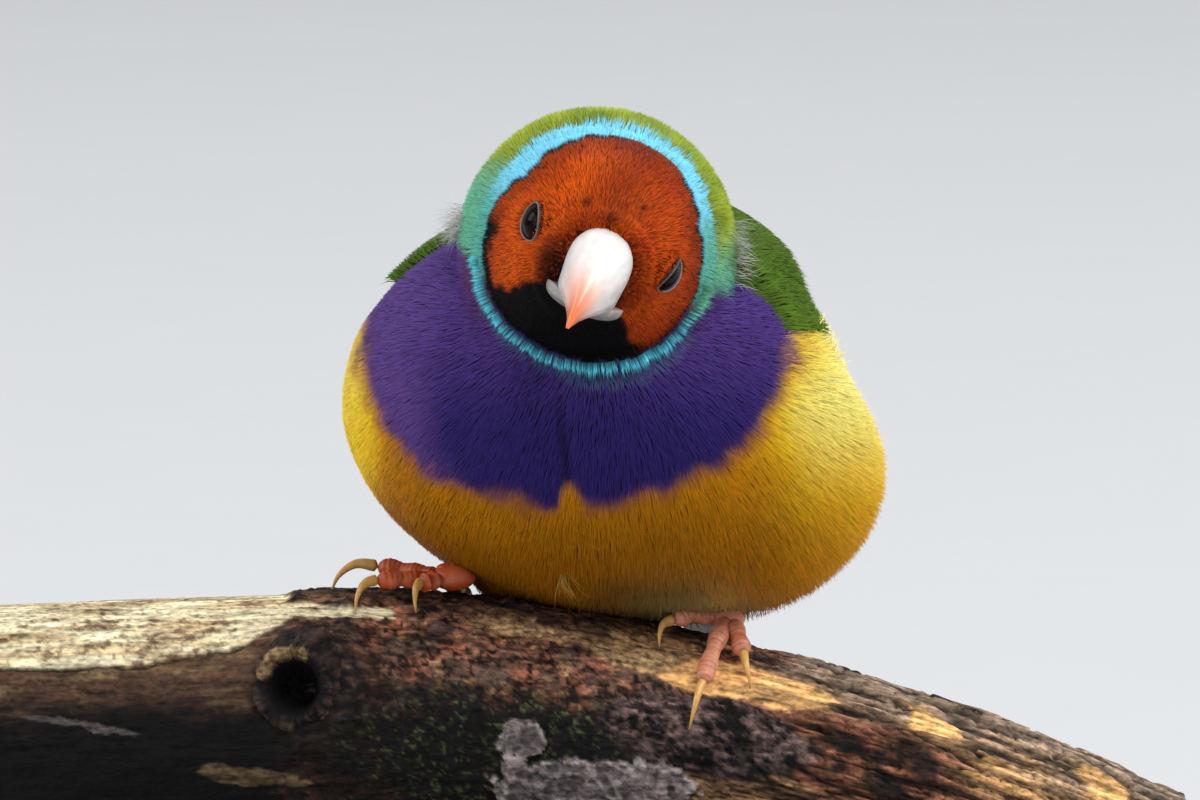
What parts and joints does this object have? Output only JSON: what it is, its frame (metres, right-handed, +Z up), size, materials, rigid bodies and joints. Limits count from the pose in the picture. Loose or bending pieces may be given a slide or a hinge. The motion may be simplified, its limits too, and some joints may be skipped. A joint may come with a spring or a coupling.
{
  "type": "gouldian finch",
  "caption": "Still, life-size perched gouldian finch, fluffed up and looking forward over its breast, on a short cut branch held by a plain display stand.",
  "frame": {"origin": "centre of the stand base's underside, on the surface it stands on", "axes": "+Z up, the bird faces -Y and its left side is towards +X, the branch runs along X"},
  "size_m": [0.123, 0.1381, 0.1089],
  "materials": {
    "face_feathers": "orange-red face feathers, black chin",
    "nape_feathers": "yellow-green crown and nape",
    "body_feathers": "purple breast, yellow belly, green back",
    "wing_feathers": "green wing feathers with dark primaries",
    "tail_feathers": "black tail under blue coverts",
    "bill_horn": "smooth pale horn with a pink tip",
    "eye": "wet dark brown",
    "thigh_feathers": "pale thigh feathers",
    "foot_skin": "pinkish scaled skin",
    "claw_horn": "yellowish horn",
    "bark": "weathered branch with bark and bare wood",
    "base_wood": "dark stained, satin",
    "rod_steel": "brushed"
  },
  "bodies": {
    "root": {"head": "face_feathers", "neck": "nape_feathers", "torso": "body_feathers", "wing_left": "wing_feathers", "wing_right": "wing_feathers", "tail": "tail_feathers", "bill_upper": "bill_horn", "bill_lower": "bill_horn", "eye_left": "eye", "eye_right": "eye", "leg_left": "thigh_feathers", "leg_right": "thigh_feathers", "foot_left": "foot_skin", "foot_right": "foot_skin", "claw_left_inner": "claw_horn", "claw_left_middle": "claw_horn", "claw_left_outer": "claw_horn", "claw_left_hind": "claw_horn", "claw_right_inner": "claw_horn", "claw_right_middle": "claw_horn", "claw_right_outer": "claw_horn", "claw_right_hind": "claw_horn", "perch": "bark", "stand_base": "base_wood", "stand_rod_left": "rod_steel", "stand_rod_right": "rod_steel"}
  },
  "joints": []
}
